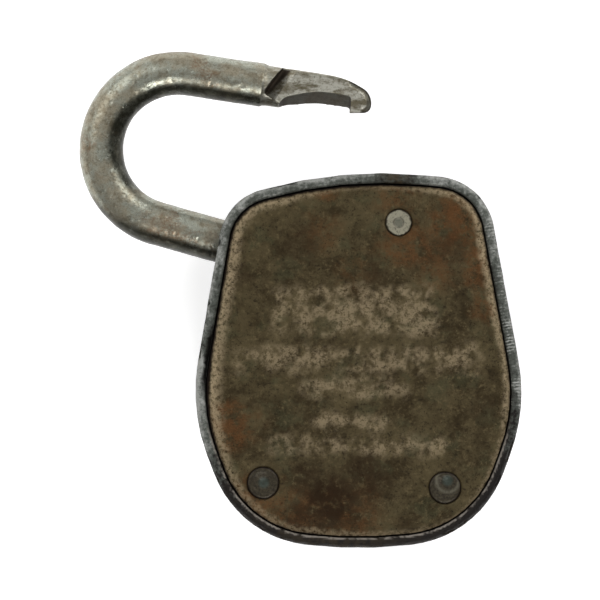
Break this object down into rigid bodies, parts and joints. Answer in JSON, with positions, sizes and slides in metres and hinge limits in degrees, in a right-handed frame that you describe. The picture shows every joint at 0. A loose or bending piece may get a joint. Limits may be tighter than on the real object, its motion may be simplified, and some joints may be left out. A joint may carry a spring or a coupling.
{
  "type": "keyless padlock",
  "caption": "Worn keyless padlock, standing open on its dial: cast case, riveted back plate, swinging shackle with a hooked toe, dial and knob, tumbler wheels and locking dog.",
  "frame": {"origin": "the dial's axis, on the flat face of the knob that the lock stands on", "axes": "+Z out of the back plate, +Y from the dial towards the shackle, +X to the right as seen on the back plate"},
  "size_m": [0.074, 0.083, 0.0282],
  "materials": {
    "case_metal": "worn grey die casting, mottled, nicked rim",
    "plate_metal": "olive-brown patina with rust stains and a worn, paler edge",
    "rivet_metal": "peened and flush, dull grey with a dark ring",
    "shackle_steel": "worn, rubbed bright along the top, dark underneath",
    "pin_steel": "dull, oiled",
    "dial_enamel": "black enamel, chipped at the edge, pale numbers",
    "knob_metal": "dull cast metal, worn bright on the grips",
    "wheel_brass": "tarnished"
  },
  "bodies": {
    "lock_case": {"case": "case_metal", "back_plate": "plate_metal", "top_rivet": "rivet_metal", "left_rivet": "rivet_metal", "right_rivet": "rivet_metal", "pivot_pin": "pin_steel", "pivot_collar": "pin_steel", "dial_washer": "wheel_brass", "wheel_post": "wheel_brass", "base_washer": "wheel_brass", "spacer_1": "pin_steel", "spacer_2": "pin_steel", "post_clip": "pin_steel"},
    "shackle": {"shackle": "shackle_steel"},
    "dial": {"dial": "dial_enamel", "dial_knob": "knob_metal", "knob_pin": "pin_steel", "spindle": "pin_steel", "drive_cam": "wheel_brass", "cam_pin": "pin_steel", "cam_washer": "pin_steel", "spindle_clip": "pin_steel"},
    "third_wheel": {"wheel_3": "wheel_brass", "fly_pin_3": "pin_steel"},
    "second_wheel": {"wheel_2": "wheel_brass", "fly_pin_2": "pin_steel"},
    "first_wheel": {"wheel_1": "wheel_brass", "fly_pin_1": "pin_steel"},
    "dog": {"locking_dog": "pin_steel", "fence_comb": "pin_steel", "dog_spring": "pin_steel"}
  },
  "joints": [
    {"name": "shackle_swing", "type": "hinge", "parent": "lock_case", "child": "shackle", "pos_m": [-0.0126, 0.02, 0.0184], "axis": [0, 0, -1], "range_deg": [0, 74.3]},
    {"name": "dial_turn", "type": "hinge", "parent": "lock_case", "child": "dial", "pos_m": [0, 0, 0.018], "axis": [0, 0, 1], "continuous": true},
    {"name": "third_wheel_lag", "type": "hinge", "parent": "dial", "child": "third_wheel", "pos_m": [0, 0, 0.019], "axis": [0, 0, 1], "range_deg": [-165, 165]},
    {"name": "second_wheel_lag", "type": "hinge", "parent": "third_wheel", "child": "second_wheel", "pos_m": [0, 0, 0.015], "axis": [0, 0, 1], "range_deg": [-165, 165]},
    {"name": "first_wheel_lag", "type": "hinge", "parent": "second_wheel", "child": "first_wheel", "pos_m": [0, 0, 0.012], "axis": [0, 0, 1], "range_deg": [-165, 165]},
    {"name": "dog_swing", "type": "hinge", "parent": "lock_case", "child": "dog", "pos_m": [0.0067, 0.0259, 0.022], "axis": [0, 0, 1], "range_deg": [0, 12], "stiffness_Nm_per_rad": 0.01, "springref_deg": -5.73}
  ]
}
